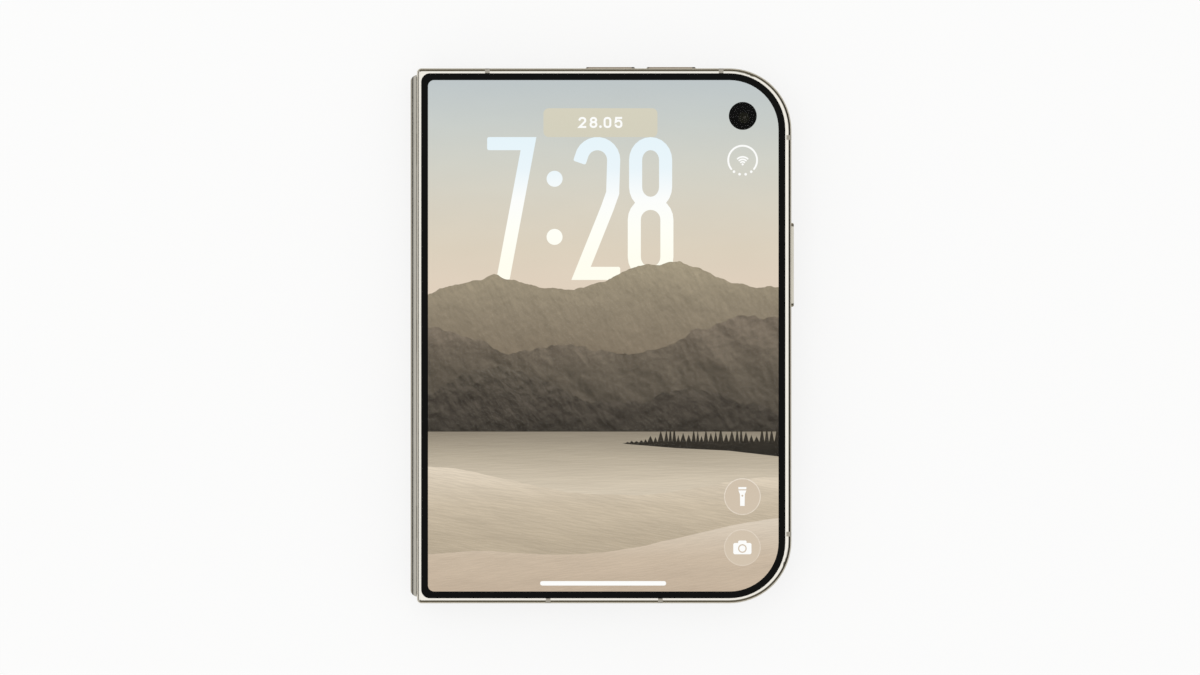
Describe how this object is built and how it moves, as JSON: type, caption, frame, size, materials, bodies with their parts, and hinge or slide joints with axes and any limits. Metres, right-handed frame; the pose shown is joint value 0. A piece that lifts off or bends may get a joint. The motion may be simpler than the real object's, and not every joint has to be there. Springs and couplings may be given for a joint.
{
  "type": "foldable smartphone",
  "caption": "Closed book-style folding phone with an outer screen, a rounded free edge, a convex hinge spine and a folding inner screen.",
  "frame": {"origin": "middle of the bounding box at the height of the surface the phone lies on, closed, back down", "axes": "+X from the hinge spine to the free edge, +Y to the top edge, +Z out of the cover screen"},
  "size_m": [0.0864, 0.1208, 0.0127],
  "materials": {
    "back_glass": "satin pale back panel",
    "band_plastic": "satin grey-tan moulded plastic, flush with the rim",
    "battery_wrap": "dark foil wrap",
    "bezel_plastic": "satin black trim",
    "button_metal": "polished like the frame",
    "camera_black": "matt black camera barrel",
    "camera_window": "gloss black deck round the lenses",
    "circuit_board": "solder-masked board",
    "cover_glass": "clear polished glass over a black border",
    "display_picture": "lit screen with a pale layered picture",
    "flash_lens": "pale ribbed flash lens",
    "folding_display": "black folding screen, glossy film",
    "frame_metal": "polished warm titanium-silver, mirror-bright rounded rim",
    "hinge_steel": "fine-ground steel",
    "inner_plastic": "plain moulded plastic",
    "lens_glass": "coated lens glass",
    "magnet": "nickel-plated magnet",
    "plateau_metal": "polished like the frame",
    "port_steel": "bright steel shell",
    "screw_steel": "blackened steel",
    "sensor_glass": "smooth grey-tan sensor strip",
    "shield_steel": "tinned sheet",
    "spine_metal": "polished bronze-grey metal",
    "switch_steel": "plain steel"
  },
  "bodies": {
    "rear_half": {"display_rear": "folding_display", "rear_frame": "frame_metal", "rear_antenna_bands": "band_plastic", "back_glass": "back_glass", "camera_plateau": "plateau_metal", "camera_window": "camera_window", "main_camera": "camera_black", "wide_camera": "camera_black", "tele_camera": "camera_black", "camera_lenses": "lens_glass", "flash_lamp": "flash_lens", "rear_battery": "battery_wrap", "main_board": "circuit_board", "shield_cans": "shield_steel", "usb_port": "port_steel", "loudspeaker": "inner_plastic", "haptic_motor": "shield_steel", "rear_bezel": "bezel_plastic", "rear_hinge_arms": "hinge_steel", "rear_gears": "hinge_steel", "rear_screws": "screw_steel", "rear_magnets": "magnet"},
    "spine": {"display_fold": "folding_display", "spine_cover": "spine_metal", "hinge_chassis": "hinge_steel", "gear_end_plates": "hinge_steel", "gear_pins": "screw_steel", "spine_screws": "screw_steel"},
    "front_half": {"front_frame": "frame_metal", "front_antenna_bands": "band_plastic", "cover_glass": "cover_glass", "cover_display": "display_picture", "cover_camera": "camera_black", "cover_camera_lens": "lens_glass", "earpiece": "inner_plastic", "front_battery": "battery_wrap", "front_board": "circuit_board", "button_switches": "switch_steel", "button_spring_plates": "switch_steel", "front_bezel": "bezel_plastic", "front_hinge_arms": "hinge_steel", "front_gears": "hinge_steel", "front_screws": "screw_steel", "front_magnets": "magnet", "display_front": "folding_display"},
    "front_wing": {"front_wing_plate": "hinge_steel"},
    "rear_wing": {"rear_wing_plate": "hinge_steel"},
    "power_key": {"power_button": "button_metal", "fingerprint_sensor": "sensor_glass"},
    "volume_up_key": {"volume_up_button": "button_metal"},
    "volume_down_key": {"volume_down_button": "button_metal"}
  },
  "joints": [
    {"name": "rear_fold", "type": "hinge", "parent": "rear_half", "child": "spine", "pos_m": [-0.04063, -0.00015, 0.00615], "axis": [0, -1, 0], "range_deg": [0, 90], "deforming": ["display_fold"]},
    {"name": "front_fold", "type": "hinge", "parent": "spine", "child": "front_half", "pos_m": [-0.04063, -0.00015, 0.00875], "axis": [0, -1, 0], "range_deg": [0, 90], "deforming": ["display_fold"]},
    {"name": "front_wing_turn", "type": "hinge", "parent": "front_half", "child": "front_wing", "pos_m": [-0.03243, -0.00015, 0.00843], "axis": [0, -1, 0], "range_deg": [0, 5.6]},
    {"name": "rear_wing_turn", "type": "hinge", "parent": "rear_half", "child": "rear_wing", "pos_m": [-0.03243, -0.00015, 0.00647], "axis": [0, 1, 0], "range_deg": [0, 5.6]},
    {"name": "power_press", "type": "slide", "parent": "front_half", "child": "power_key", "axis": [-1, 0, 0], "range_m": [0, 0.0002], "stiffness_N_per_m": 1000, "springref_m": -0.0015},
    {"name": "volume_up_press", "type": "slide", "parent": "front_half", "child": "volume_up_key", "axis": [0, -1, 0], "range_m": [0, 0.0002], "stiffness_N_per_m": 1000, "springref_m": -0.0015},
    {"name": "volume_down_press", "type": "slide", "parent": "front_half", "child": "volume_down_key", "axis": [0, -1, 0], "range_m": [0, 0.0002], "stiffness_N_per_m": 1000, "springref_m": -0.0015}
  ],
  "couplings": [
    {"joint": "front_fold", "follows": "rear_fold", "ratio": 1},
    {"joint": "front_wing_turn", "follows": "rear_fold", "ratio": 0.062156},
    {"joint": "rear_wing_turn", "follows": "rear_fold", "ratio": 0.062156}
  ]
}
